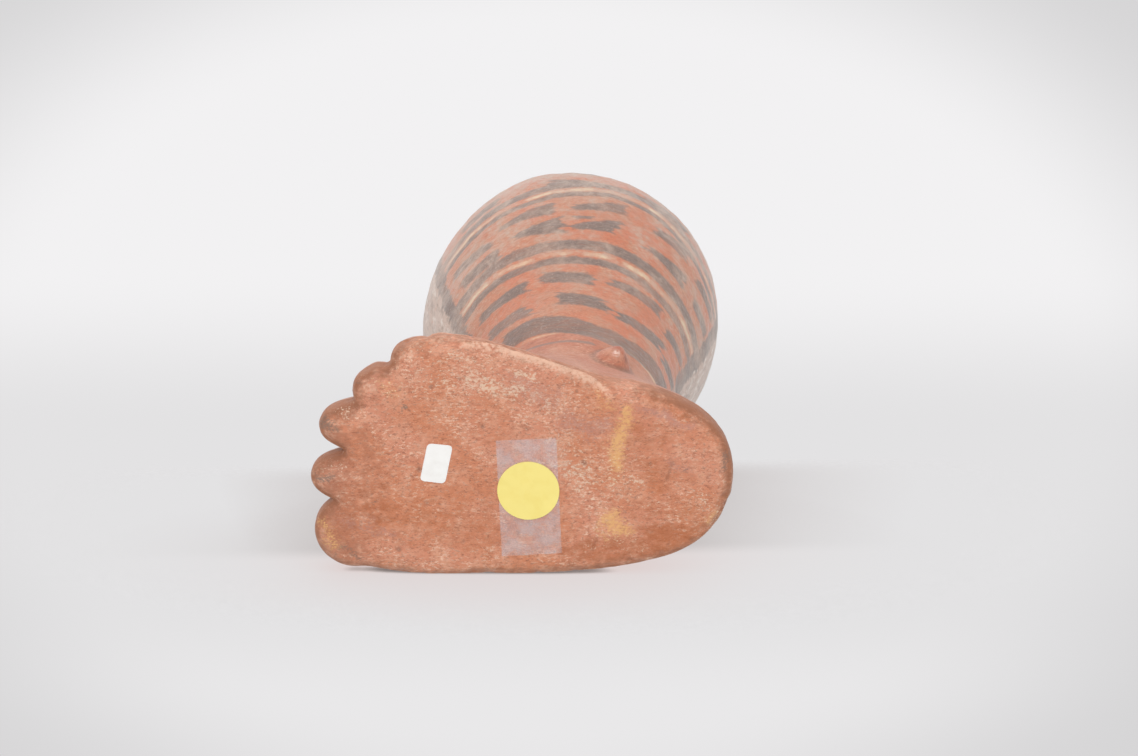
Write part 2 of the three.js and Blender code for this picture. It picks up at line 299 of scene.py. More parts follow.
lump = bmesh.new()
for node in frame["nodes"].values():
    solid = bmesh.new()
    solid.from_mesh(node.data)
    bmesh.ops.remove_doubles(solid, verts=solid.verts, dist=1e-6)
    solid.normal_update()
    for vert in solid.verts:
        vert.co += vert.normal * SWELL * MM
    swelled = bpy.data.meshes.new("swelled")
    solid.to_mesh(swelled)
    solid.free()
    lump.from_mesh(swelled)
    bpy.data.meshes.remove(swelled)
lump_mesh = bpy.data.meshes.new("lump")
lump.to_mesh(lump_mesh)
lump.free()
lump_object = bpy.data.objects.new("lump", lump_mesh)
bpy.context.scene.collection.objects.link(lump_object)
remesh = lump_object.modifiers.new("melt", "REMESH")
remesh.mode, remesh.voxel_size = "VOXEL", VOXEL * MM
rub = lump_object.modifiers.new("rub", "SMOOTH")
rub.factor, rub.iterations = 0.5, RUB_PASSES


def baked_mesh(obj):
    """The object's mesh with its modifiers applied, as a new mesh."""
    return bpy.data.meshes.new_from_object(obj.evaluated_get(bpy.context.evaluated_depsgraph_get()))


clay = baked_mesh(lump_object)
bpy.data.objects.remove(lump_object)
print("clay body:", len(clay.vertices), "vertices")

# %% [markdown]
# ## Hand-made unevenness
# A hand-built pot is never true: the leg leans, the wall swells and dips, the sole is pitted and its edge is chipped.
# Moving the vertices along their normals by seeded noise gives real bumps that also show in the outline, which a bump
# texture can't do. The noise is a grid of random numbers, smoothly blended, at a size given in millimetres.

# %% Read the clay as arrays
def vectors_of(collection, key, count):
    flat = np.empty(count * 3, dtype=np.float32)
    collection.foreach_get(key, flat)
    return flat.reshape(-1, 3).astype(np.float64)


def lump_noise(points, size, seed):
    """Smooth noise from -1 to 1 with lumps of about size millimetres."""
    cells = 32
    grid = np.random.default_rng(seed).uniform(-1, 1, (cells, cells, cells))
    whole = np.floor(points / size).astype(int)
    part = points / size - whole
    part = part * part * (3 - 2 * part)
    total = np.zeros(len(points))
    for corner in np.ndindex(2, 2, 2):
        weight = np.prod(np.where(corner, part, 1 - part), axis=1)
        total += weight * grid[tuple(((whole + corner) % cells).T)]
    return total


def hump(values, low, high):
    """1 in the middle of low..high, falling smoothly to 0 at both ends."""
    return np.sin(np.pi * np.clip((values - low) / (high - low), 0, 1)) ** 2


def smooth_step(values, low, high):
    t = np.clip((values - low) / (high - low), 0, 1)
    return t * t * (3 - 2 * t)


normals = vectors_of(clay.vertex_normals, "vector", len(clay.vertices))
spots = vectors_of(clay.vertices, "co", len(clay.vertices)) / MM - normals * SWELL
print("clay box in mm:", spots.min(0).round(1), spots.max(0).round(1))

# %% Push the clay out of true
LEAN = 1.8
LEAN_FROM, LEAN_TO = 44, 147
LUMPS = ((0.50, 36), (0.24, 13), (0.10, 5), (0.05, 2.4))
SOLE_CALM, SOLE_GRAIN, SOLE_SINK = 0.55, 0.10, 0.25
SHIN_SWELL = 1.2
CALF_DENT, CALF_BULGE = 2.0, 1.2
SOLE_GROWTH, TOE_SHARE = 0.7, 0.6
TOE_NUDGES = ((39.5, -51.5, -0.7, 0), (41, -48, -0.7, 0), (40.5, -43, 1.0, 0), (41.5, -39, 0.7, 0),
              (31.5, -63.5, -1.0, 1.0), (5.5, -71.5, 0, 1.8), (21, -69, -0.4, 0.3))
NUDGE_REACH = 3.4


def lean_at(heights):
    return LEAN * np.clip((heights - LEAN_FROM) / (LEAN_TO - LEAN_FROM), 0, 1)


heights = spots[:, 2]
bearing = np.degrees(np.arctan2(spots[:, 1], spots[:, 0]))
outer = np.einsum("ij,ij->i", spots[:, :2], normals[:, :2]) > 0
under_sole = (normals[:, 2] < -0.6) & (heights < 4)

push = sum(depth * lump_noise(spots, size, seed) for seed, (depth, size) in enumerate(LUMPS, 1))
push = np.where(under_sole, SOLE_CALM * push + SOLE_GRAIN * lump_noise(spots, 2.0, 6) - SOLE_SINK, push)
uneven = SHIN_SWELL * hump(bearing, -135, -45) * hump(heights, 45, 135)
uneven += (CALF_BULGE * hump(bearing, -150, -78) - CALF_DENT * hump(bearing, -100, -5)) * hump(heights, 85, 190)
push += np.where(outer, uneven, 0)
shaped = spots + normals * push[:, None]
shaped[:, 0] += lean_at(heights)
grown = np.maximum(smooth_step(-spots[:, 0], -5, 25), TOE_SHARE * smooth_step(-spots[:, 1], 45, 70))
grown *= smooth_step(heights, 30, 8)
shaped[:, :2] += normals[:, :2] * (SOLE_GROWTH * grown)[:, None]
for x, y, *shift in TOE_NUDGES:
    near = np.exp(-(np.hypot(spots[:, 0] - x, spots[:, 1] - y) / NUDGE_REACH) ** 2)
    near *= smooth_step(heights, 24, 8)
    shaped[:, :2] += near[:, None] * shift
print("pushed by", push.min().round(2), "to", push.max().round(2), "mm")

# %% Flare the arch and round the edge
FAR_OFF = 99.0
RIDGE = ((39.1, -38), (36.9, -26), (34.0, -14), (30.4, -3), (26.9, 7), (23.4, 12.5), (19.6, 15.5))
RIDGE_LIFT, RIDGE_HALF, RIDGE_HEIGHT = 2.7, 2.2, 1.1
RIDGE_WAY = np.array((0.98, 0.1, -0.1))
EDGE_LIFT, EDGE_ROUND, EDGE_HEIGHT = 1.6, 8, 9.5
WALL_FROM, WALL_TO = 5, 6.5


def off_path(points, path):
    """Distance in the ground plane from a path of straight lines."""
    nearest = np.full(len(points), FAR_OFF)
    for (ax, ay), (bx, by) in zip(path, path[1:]):
        line = np.array((bx - ax, by - ay))
        t = np.clip(((points[:, :2] - (ax, ay)) @ line) / (line @ line), 0, 1)
        nearest = np.minimum(nearest, np.linalg.norm(points[:, :2] - (ax, ay) - t[:, None] * line, axis=1))
    return nearest


ridge = np.exp(-((off_path(spots, RIDGE) ** 2 + (heights - RIDGE_HEIGHT) ** 2) / RIDGE_HALF ** 2))
ridge *= smooth_step(spots[:, 1], -38, -25)
shaped += RIDGE_WAY * (RIDGE_LIFT * ridge * smooth_step(spots[:, 1], 13, 4))[:, None]
on_wall = np.flatnonzero((heights > WALL_FROM) & (heights < WALL_TO) & (np.abs(normals[:, 2]) < 0.5) & outer)
wall = KDTree(len(on_wall))
for i, k in enumerate(on_wall):
    wall.insert((*spots[k, :2], 0), i)
wall.balance()
low_down = np.flatnonzero(heights < EDGE_HEIGHT)
edge_far = np.full(len(spots), FAR_OFF)
edge_far[low_down] = [wall.find((x, y, 0))[2] for x, y in spots[low_down, :2]]
toe_or_heel = np.maximum(smooth_step(spots[:, 1], -42, -58),
                         smooth_step(spots[:, 1], 18, 34) * smooth_step(spots[:, 0], -26, -10))
edge_lift = EDGE_LIFT * toe_or_heel * np.clip(1 - edge_far / EDGE_ROUND, 0, 1) ** 2
shaped[:, 2] += edge_lift * np.clip(1 - heights / 9, 0, 1) * (normals[:, 2] < 0.3)
print("edge lifted by up to", edge_lift.max().round(2), "mm")

# %% Scratch the sole
GROOVES = (((2.8, -69.5), (2.5, -57.5), 0.22), ((1.5, 31.6), (-4.6, 29.8), 0.45), ((-29, 6.6), (-24, 8.6), 0.45),
           ((14, -58), (11.5, -44), 0.14), ((-18, -62), (-19.5, -47), 0.14), ((-8, 20), (-6, 27), 0.2),
           ((20, -30), (19, -8), 0.12), ((8, 22), (11, 38), 0.14))
GROOVE_HALF = 0.9
for start, end, depth in GROOVES:
    cut = np.clip(1 - (off_path(spots, (start, end)) / GROOVE_HALF) ** 2, 0, 1)
    shaped -= normals * (depth * cut * under_sole)[:, None]
print(len(GROOVES), "grooves")

# %% Raise the ankle knobs
KNOBS = ("outer_ankle_knob", "inner_ankle_knob")
KNOB_LIFT, KNOB_SPREAD = 2.8, 3.2
knob, glint, dirt = (np.zeros(len(spots)) for _ in range(3))
for name in KNOBS:
    middle = sum(np.array(corner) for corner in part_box(name)) / 2 / MM
    out = np.array((middle[0], middle[1], 0)) / np.hypot(middle[0], middle[1])
    swell = np.exp(-(np.linalg.norm(spots - middle - out, axis=1) / KNOB_SPREAD) ** 2)
    swell *= normals @ out > -0.2
    shaped += out * (KNOB_LIFT * swell)[:, None]
    knob = np.maximum(knob, swell)
    # Two marks round each knob for the paint: a painted highlight low on its outer face, and a painted shade with some
    # dirt on its heel side.
    heelward = np.array((-out[1], out[0], 0)) * np.sign(out[0])
    for mark, place, size in ((glint, out * 1.8 - heelward * 0.5 - (0, 0, 2.4), 1.5),
                              (dirt, out * 1.2 + heelward * 2.7 - (0, 0, 1.4), 1.9)):
        mark[:] = np.maximum(mark, np.exp(-(np.linalg.norm(spots - middle - place, axis=1) / size) ** 2))
print("knobs raised by", KNOB_LIFT, "mm")

# %% Pit and chip the sole
PITS = 90
rng = np.random.default_rng(7)
sole_ids = np.flatnonzero((heights < 9) & (normals[:, 2] < 0.2))
for centre in rng.choice(sole_ids, PITS):
    radius, depth = rng.uniform(0.9, 2.1), rng.uniform(0.15, 0.55)
    near = np.linalg.norm(spots - spots[centre], axis=1) / radius
    shaped -= normals * (depth * np.clip(1 - near ** 2, 0, 1) ** 2)[:, None]
edge_of_sole = hump(normals[:, 2], -0.98, 0.15) * (heights < 7)
chips = np.clip(lump_noise(spots, 4.2, 5) - 0.35, 0, 1) * edge_of_sole
shaped -= normals * (1.5 * chips)[:, None]
print(PITS, "pits,", int((chips > 0.05).sum()), "chipped vertices")

# %% [markdown]
# ## Where the clay stands proud
# Handling wears the slip on ridges, and the clay is darker in hollows. The shader needs to know which is which, so
# each vertex gets a number: how far it stands out from the average of its neighbours, averaged again so that it
# spreads a little.

# %% Measure ridges and hollows
RIM_WIDTH = 4.5
edge_ends = np.empty(len(clay.edges) * 2, dtype=np.int32)
clay.edges.foreach_get("vertices", edge_ends)
edge_ends = edge_ends.reshape(-1, 2)
valence = np.bincount(edge_ends.ravel(), minlength=len(spots))


def neighbour_mean(values):
    total = (np.bincount(edge_ends[:, 0], values[edge_ends[:, 1]], len(spots))
             + np.bincount(edge_ends[:, 1], values[edge_ends[:, 0]], len(spots)))
    return total / valence


def blurred(values, passes):
    for _ in range(passes):
        values = 0.5 * values + 0.5 * neighbour_mean(values)
    return values


def set_layer(mesh, name, values):
    mesh.attributes.new(name, "FLOAT", "POINT").data.foreach_set("value", values.astype(np.float32))


rounded = np.stack([blurred(shaped[:, axis], 24) for axis in range(3)], axis=1)
proud = np.einsum("ij,ij->i", shaped - rounded, normals)
clay.vertices.foreach_set("co", (shaped * MM).astype(np.float32).ravel())
# The brown rim along the sole's edge and up the foot wall is partly dirt and partly painted shade; along the inner
# edge, where the jar lies on the table, it is a painted contact shadow.
inner_edge_shadow = smooth_step(-spots[:, 0], 18, 30) * (heights < EDGE_HEIGHT)
rim = 0.6 + 0.4 * np.maximum(toe_or_heel, inner_edge_shadow)
rim *= np.where(heights < EDGE_HEIGHT, np.clip(1 - edge_far / RIM_WIDTH, 0, 1), smooth_step(heights, 19, 9))
rim *= outer | (heights < 5)
# The pale line on the arch's crest is partly worn slip and partly a painted highlight.
ridge *= smooth_step(spots[:, 1], 22, 8) * smooth_step(spots[:, 1], -30, -16)
layers = {"proud": blurred(proud, 2), "rim": blurred(rim, 4), "ridge": ridge, "knob": knob, "glint": glint,
          "dirt": dirt}
for name, values in layers.items():
    set_layer(clay, name, values)
clay.update()
print("proud from", proud.min().round(2), "to", proud.max().round(2), "mm")

# %% [markdown]
# ## Pieces
# The library keeps the jar as the clay pieces that a potter would make, so the melted body is cut again along the same
# joints. Flat cuts through one shared body leave pieces that meet exactly, so no joint shows, and every piece is a
# closed mesh. Boolean modifiers with simple prisms do the cutting.

# %% Shape the cutters
FAR = 150
SOLE_TOP, FOOT_TOP, ANKLE_TOP, CALF_MIDDLE, SHOULDER = 9.0, 44, 68, 112, 166
TOES = ("big_toe", "second_toe", "third_toe", "fourth_toe", "little_toe")
TOE_ROOTS = ((-60, -63), (-11.5, -49), (5.5, -44), (17, -40.6), (25.5, -38.3), (60, -28))
TOE_GAPS = ((-60, -110), (-11.5, -110), (9, -110), (40, -110), (75, -96), (110, -28))
KNOB_MARGIN = 1.5


def prism(name, outline, low, high):
    """A closed block: outline in the ground plane, from height low to high, in millimetres."""
    bm = bmesh.new()
    base = [bm.verts.new(Vector((x, y, low)) * MM) for x, y in outline]
    top = [bm.verts.new(Vector((x, y, high)) * MM) for x, y in outline]
    bm.faces.new(reversed(base))
    bm.faces.new(top)
    for i in range(len(base)):
        j = (i + 1) % len(base)
        bm.faces.new((base[i], base[j], top[j], top[i]))
    bmesh.ops.recalc_face_normals(bm, faces=bm.faces)
    mesh = bpy.data.meshes.new(name)
    bm.to_mesh(mesh)
    bm.free()
    cutter = bpy.data.objects.new(name, mesh)
    bpy.context.scene.collection.objects.link(cutter)
    return cutter


def knob_cutter(node):
    """A block round one ankle knob, from just under the foot's surface outwards."""
    low, high = (np.array(corner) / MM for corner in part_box(node))
    middle = (low + high) / 2
    out = middle[:2] / np.linalg.norm(middle[:2])
    side = np.array((-out[1], out[0]))
    half = max(high[2] - low[2], 10) / 2 + KNOB_MARGIN
    inner, outer_end = middle[:2] - 1.5 * out, middle[:2] + 20 * out
    outline = [inner - half * side, outer_end - half * side, outer_end + half * side, inner + half * side]
    return prism(node + "_cutter", outline, middle[2] - half, middle[2] + half)


whole = [(-FAR, -FAR), (FAR, -FAR), (FAR, FAR), (-FAR, FAR)]
levels = (("sole_slab", -FAR, SOLE_TOP), ("foot_upper", SOLE_TOP, FOOT_TOP), ("ankle_wall", FOOT_TOP, ANKLE_TOP),
          ("lower_calf_wall", ANKLE_TOP, CALF_MIDDLE), ("upper_calf_wall", CALF_MIDDLE, SHOULDER),
          ("rim_ring", SHOULDER, SHOULDER + FAR))
cutters = {name: prism(name + "_cutter", whole, low, high) for name, low, high in levels}
for i, name in enumerate(TOES):
    cutters[name] = prism(name + "_cutter", [TOE_ROOTS[i], TOE_GAPS[i], TOE_GAPS[i + 1], TOE_ROOTS[i + 1]],
                          SOLE_TOP, FOOT_TOP)
for name in KNOBS:
    cutters[name] = knob_cutter(name)
# One tall block takes all toes off the foot: blocks that share a side would leave thin leaves of clay between them.
toe_row = prism("toe_row_cutter", [*TOE_ROOTS, *reversed(TOE_GAPS)], -FAR, FAR)
print(len(cutters) + 1, "cutters")

# %% Cut the pieces apart
SHARP = math.radians(60)

# The new points along a cut have no layers yet, and take them from the nearest point of the body.
body = KDTree(len(clay.vertices))
for i, vert in enumerate(clay.vertices):
    body.insert(vert.co, i)
body.balance()


def cut_piece(name):
    obj = bpy.data.objects.new(name + "_clay", clay.copy())
    bpy.context.scene.collection.objects.link(obj)
    cuts = [("INTERSECT", cutters[name])]
    if name == "foot_upper":
        cuts += [("DIFFERENCE", other) for other in (toe_row, *(cutters[knob] for knob in KNOBS))]
    for i, (operation, cutter) in enumerate(cuts):
        cut = obj.modifiers.new(f"cut_{i}", "BOOLEAN")
        cut.operation, cut.object, cut.solver = operation, cutter, "MANIFOLD"
    mesh = baked_mesh(obj)
    obj.modifiers.clear()
    obj.data = mesh
    mesh.name = obj.name
    values = np.empty(len(mesh.vertices), dtype=np.float32)
    mesh.attributes["proud"].data.foreach_get("value", values)
    for k in np.flatnonzero(values == 0):
        nearest = body.find(mesh.vertices[k].co)[1]
        for layer in layers:
            mesh.attributes[layer].data[k].value = clay.attributes[layer].data[nearest].value
    mesh.shade_smooth()
    mesh.set_sharp_from_angle(angle=SHARP)
    return obj


pieces = {name: cut_piece(name) for name in cutters}
for cutter in (*cutters.values(), toe_row):
    bpy.data.objects.remove(cutter)
for name, obj in pieces.items():
    print(f"{name}: {len(obj.data.vertices)} vertices")

# %% [markdown]
# ## Painted strokes on the calf
# The calf carries a common scheme of the region: rings that divide it into panels, a pale line between two dark rings,
# and pairs of short brushed dashes in each panel. The panels cover the outer and the inner side, and pale strips run
# down the shin and the back. An image would need UVs, so each vertex gets a distance instead: how deep it lies inside
# the nearest stroke, in millimetres. The shader turns that into ragged paint edges finer than the mesh.

# %% List the strokes
FRONT_EDGE, BACK_EDGE = -67, 88
PANELS = ((FRONT_EDGE, 1.0), (250, -0.82))
DARK_RINGS = ((39.4, 0.9, -32, 15), (51.2, 4.4, -44, 88), (86.8, 1.8, -67, 88), (95.7, 2.5, -67, 88),
              (124.6, 1.5, -67, 88), (132.6, 2.2, -67, 88), (161.5, 1.7, -67, 88), (169.0, 2.2, -67, 88))
PALE_RINGS = ((45.2, 0.5), (90.7, 0.8), (128.0, 0.8), (165.2, 0.8))
RING_BOW = {124.6: 5.5, 128.0: 5.5, 132.6: 5.5, 51.2: -4.5}
DASHES = (
    (-51, -23, 62.3, 62.0, 2.4, 3.2), (-7, 24, 64.2, 61.8, 3.4, 1.6), (-7, 19, 65.6, 65.2, 1.8, 0.6),
    (27, 61, 60.8, 66.0, 2.0, 3.2), (66, 84, 62.0, 63.0, 2.2, 2.2),
    (-54, -25, 75.6, 75.8, 2.2, 3.0), (-14, 12, 77.4, 76.2, 3.3, 2.8), (20, 51, 77.6, 80.6, 1.6, 2.7),
    (60, 80, 76.0, 78.0, 2.6, 2.0),
    (-56, -33, 103.2, 101.0, 2.4, 3.0), (-25, -4, 105.0, 107.6, 1.0, 5.0), (0, 20, 105.6, 109.6, 1.2, 4.6),
    (34, 57, 106.3, 107.6, 1.4, 3.8), (66, 82, 106.0, 107.0, 2.4, 2.4),
    (-58, -38, 114.4, 110.6, 2.2, 2.8), (-29, -8, 115.4, 117.8, 1.4, 3.2), (1, 22, 117.8, 122.6, 1.4, 3.4),
    (1, 8, 111.9, 112.4, 0.9, 0.7), (36, 54, 120.2, 122.6, 2.2, 3.8), (63, 80, 118.0, 119.0, 2.2, 2.4),
    (-50, -30, 141.0, 140.4, 2.0, 3.0), (-9, 10, 138.6, 137.4, 2.6, 1.8), (30, 52, 141.0, 142.0, 1.6, 3.0),
    (-52, -32, 153.0, 152.0, 2.4, 2.6), (-12, 11, 152.6, 151.6, 1.6, 3.2), (26, 50, 152.0, 153.4, 2.0, 3.0),
)
BORDERS = ((FRONT_EDGE, 2.6), (BACK_EDGE, 3.2))
BORDER_SPAN = (72, 163)
print(len(DASHES), "dashes a side")

# %% Measure one stroke
def turn(angles):
    return (angles + 180) % 360 - 180


def leg_places(points):
    """Bearing in degrees and radius in millimetres about the leaning axis of the leg."""
    x = points[:, 0] - lean_at(points[:, 2])
    return np.degrees(np.arctan2(points[:, 1], x)), np.hypot(x, points[:, 1])


def stroke_depth(bearings, heights, radii, bristles, start, end, low, high, half_low, half_high):
    """Depth inside one tapering stroke from bearing start to end. Each bristle starts and lifts a little apart."""
    span = abs(end - start)
    along = turn(bearings - (start + end) / 2) * np.sign(end - start) + span / 2
    t = np.clip(along / span, 0, 1)
    from_end = np.minimum(along, span - along) * radii * math.pi / 180 + bristles
    half = half_low + (half_high - half_low) * t
    return np.minimum(half - np.abs(heights - (low + (high - low) * t)), 0.6 * from_end)


print("350 degrees is the same bearing as", turn(350))

# %% Measure all strokes
def paint_depths(points):
    """Depth in dark paint, in the pale lines and in the plain strips, for points in millimetres."""
    bearings, radii = leg_places(points)
    heights = points[:, 2] + 0.9 * lump_noise(points, 22, 11) + 0.45 * lump_noise(points, 7, 12)
    bristles = 2.6 * lump_noise(points * (0.08, 0.08, 1), 1.2, 13) + 1.2 * lump_noise(points, 5, 14)
    dark = np.full(len(points), -9.0)
    pale = np.full(len(points), -9.0)
    strip = np.full(len(points), 9.0)
    for front, scale in PANELS:
        def side(angle):
            return front + (angle - FRONT_EDGE) * scale
        bow = hump(turn(bearings - side(25)) / scale, -50, 50)
        for height, half, start, end in DARK_RINGS:
            dark = np.maximum(dark, stroke_depth(bearings, heights - RING_BOW.get(height, 0) * bow, radii, bristles,
                                                 side(start), side(end), height, height, half, half))
        for height, half in PALE_RINGS:
            pale = np.maximum(pale, stroke_depth(bearings, heights - RING_BOW.get(height, 0) * bow, radii, bristles,
                                                 side(FRONT_EDGE), side(BACK_EDGE), height, height, half, half))
        for start, end, low, high, half_low, half_high in DASHES:
            dark = np.maximum(dark, stroke_depth(bearings, heights, radii, bristles, side(start), side(end),
                                                 low, high, half_low, half_high))
        for angle, half in BORDERS:
            off = np.abs(turn(bearings - side(angle))) * radii * math.pi / 180
            past = np.abs(heights - np.clip(heights, *BORDER_SPAN))
            dark = np.maximum(dark, half + 0.5 * bristles - np.hypot(off, past))
        middle = (side(FRONT_EDGE) + side(BACK_EDGE)) / 2
        reach = abs(side(BACK_EDGE) - side(FRONT_EDGE)) / 2
        strip = np.minimum(strip, (np.abs(turn(bearings - middle)) - reach) * radii * math.pi / 180)
    return dark, pale, strip


print("panels:", len(PANELS))

# %% Store the paint on the pieces
PROFILE_TOP = 219


def level_of(points):
    return np.clip(points[:, 2], 0, PROFILE_TOP).astype(int)


profile = np.zeros(PROFILE_TOP + 1)
np.maximum.at(profile, level_of(shaped), leg_places(shaped)[1])
for name, obj in pieces.items():
    if name == "sole_slab":
        continue
    mesh = obj.data
    points = vectors_of(mesh.vertices, "co", len(mesh.vertices)) / MM
    for layer, values in zip(("dark_paint", "pale_line", "plain_strip"), paint_depths(points)):
        set_layer(mesh, layer, np.clip(values, -6, 6))
    deep = profile[level_of(points)] - leg_places(points)[1]
    set_layer(mesh, "inside", smooth_step(deep, 2.5, 4.5) * (points[:, 2] > 40))
print("paint measured on the leg")

# %% [markdown]
# ## Wear on the sole
# The sole shows its age: chalky flecks from the ground, ochre where the slip is gone, grey and mauve smudges, and a
# pale ridge along the outer edge of the arch, partly worn slip and partly a painted highlight. Each patch is a soft
# blob placed in millimetres on the sole. Its outline sways with noise, and the shader breaks it up with finer noise, so
# that only flecks of it remain.

# %% List the worn patches
CHALK = ((27, -31, 22, -16, 5.5, 1.0), (29.2, -17.5, 28.2, -11, 1.6, 1.2), (37, -37, 37, -30, 2.6, 0.9),
         (30, -38, 24, -30, 6, 0.45), (20, -24, 17, -8, 5, 0.5), (31, -27, 33, -18, 2.5, 0.5),
         (1, -1.5, -5, 5, 4.5, 0.9), (-7.5, 3, -8.5, 9, 2.5, 0.6), (-4.8, 16, -7, 22, 1.1, 0.9),
         (-11.8, 25, -12, 29, 1.2, 0.8), (-10, 38, -13, 42, 2.2, 0.7), (-14, 44, -20, 43, 3, 0.8),
         (-1, -49, -4, -46.5, 2.6, 0.6), (25.5, -57, 23, -50, 4, 0.55), (18.9, -70.8, 16, -66, 2.6, 0.75),
         (1, -75, -1, -71, 2, 0.75), (29, -63, 28, -60, 2, 0.6), (-26, -30, -27, -22, 2.5, 0.6),
         (-26.3, 6, -27, 12, 2.5, 0.7), (-26.2, 18, -25, 26, 2.2, 0.5), (-19, 10, -24, 18, 3.5, 0.6),
         (30, -42, 20, -2, 13, 0.62), (6, -2, -6, 14, 10, 0.68))
OCHRE = ((18, 16.9, 10, 15.2, 2.9, 0.9), (10, 15.2, 0, 14, 3.1, 1.0), (-16.5, 12.2, -20, 15.7, 3.4, 0.95),
         (-20, 10, -23, 12, 2, 0.6), (26, -56, 24, -52, 3, 0.45), (-20, -77, -27, -73, 2.4, 0.6),
         (0, 14, -4, 13, 3, 0.4), (-15, 44, -19, 42, 1.6, 0.7), (20, 12, 24, 9, 3, 0.5))
ROSE = ((26, -18, 22, -4, 6, 0.7), (13, -2, 14, 8, 5, 0.8), (17.5, 22, 14, 36, 2.4, 0.9),
        (-18, -70, -19, -62, 3, 0.6), (-21, -60, -21, -52, 1.5, 0.7), (0, 29, -1, 34, 2.2, 0.7),
        (5, -4, -3, 4, 3, 0.4), (-19, -16, -25, -10, 4, 0.7))
SMUDGES = ((3, 49, -1, 48.8, 2.0, 0.75), (13, -75, 12, -70, 2.6, 0.8), (-3.3, -78, -4, -74, 2.4, 0.8),
           (-30, -73, -30, -66, 2.0, 0.7), (-12, -60, -12, -59, 1.2, 0.8), (18.4, -48.5, 18.4, -47, 1, 0.8),
           (27, -65, 27, -62, 2, 0.6), (36, -53, 37, -50, 2, 0.5), (-0.5, 30.5, -1, 33, 1.4, 0.6))
ORANGE = ((20.7, 24, 18, 34, 2.5, 0.8), (-28, 6, -24, 36, 6.5, 1.0), (2, 20, -4, 30, 6, 0.6),
          (-14, -60, -20, -24, 9, 0.6), (10, 20, 10, 28, 5, 0.6), (-14, 24, -14, 36, 6, 0.6))
BROWN = ((-27, 4, -22, 36, 6, 0.55), (30, -64, 14, -74, 8, 0.9), (14, -74, -30, -72, 9, 0.9),
         (10, -62, -16, -60, 7, 0.6))
PATCHES = {"chalk": CHALK, "ochre": OCHRE, "smudge": SMUDGES, "rose": ROSE, "orange": ORANGE, "brown": BROWN}
print("patches:", {name: len(patches) for name, patches in PATCHES.items()})

# %% Place the worn patches
WARP = ((3.0, 7.0), (1.2, 2.5))
SWAY = {"ochre": 0.45}


def worn_patches(points, patches):
    """Strength of the nearest patch, each given as a line from x, y to x, y with a half width, all in millimetres."""
    total = np.zeros(len(points))
    for ax, ay, bx, by, half, strength in patches:
        total = np.maximum(total, strength * np.exp(-(off_path(points, ((ax, ay), (bx, by))) / half) ** 2))
    return total


for name, obj in pieces.items():
    mesh = obj.data
    points = vectors_of(mesh.vertices, "co", len(mesh.vertices)) / MM
    facing = vectors_of(mesh.vertex_normals, "vector", len(mesh.vertices))
    below = smooth_step(-facing[:, 2], -0.1, 0.5) * (points[:, 2] < 12)
    bent = points.copy()
    for axis in range(2):
        for reach, size in WARP:
            bent[:, axis] += reach * lump_noise(points, size, 31 + axis)
    for layer, patches in PATCHES.items():
        set_layer(mesh, layer, worn_patches(points + SWAY.get(layer, 1) * (bent - points), patches) * below)
print("patches placed on", len(pieces), "pieces")

# %% [markdown]
# ## Red slip over earthenware
# Slip is fine clay thinned with water, brushed on before firing and rubbed smooth. Fired earthenware under it is
# coarse and a little paler. The eye sees a matt terracotta with clouds of deeper and paler red, fine grit, streaks
# along the rubbing direction and pale wear where the clay stands proud. All clay pieces share these first layers, in
# object coordinates, so that the colour runs on across the joints.

# %% Helpers for patterns
def place_in_mm(n, sizes=(1, 1, 1)):
    """The place on the piece in millimetres, counted in steps of the given sizes along x, y and z."""
    steps = [1 / MM / size for size in sizes]
    return n("ShaderNodeVectorMath", {0: n("ShaderNodeTexCoord", out="Object"), 1: steps}, operation="MULTIPLY")


def mottle(n, place, size, low, high, detail=3.0, ragged=0.5, top=1.0):
    """A mask of patches about size millimetres across: 0 where noise is below low, top where it is above high."""
    noise = n("ShaderNodeTexNoise", {"Vector": place, "Scale": 1 / size, "Detail": detail, "Roughness": ragged})
    return soft_mask(n, noise, low, high, top)


def mottle_range(n, place, low, high, size=2.6):
    """A value that drifts between low and high over patches about size millimetres across."""
    noise = n("ShaderNodeTexNoise", {"Vector": place, "Scale": 1 / size, "Detail": 3})
    return n("ShaderNodeMapRange", {0: noise, 1: 0.3, 2: 0.7, 3: low, 4: high})


def painted(n, skin, layers):
    """Lays colours over a skin colour, each through its own mask."""
    for colour, mask in layers:
        skin = n("ShaderNodeMix", {0: mask, 6: skin, 7: linear(colour)}, out=2, data_type="RGBA")
    return skin


print("pattern helpers ready")

# %% Build the shared clay layers
# Sizes in millimetres. Real grit is about 0.2 mm across, and is drawn at 0.5 mm so that it shows.
CLOUD, MOTTLE, FLECK, GRIT = 24, 6, 0.6, 0.5
STREAK_LENGTH, STREAK_WIDTH = 2.6, 1.1


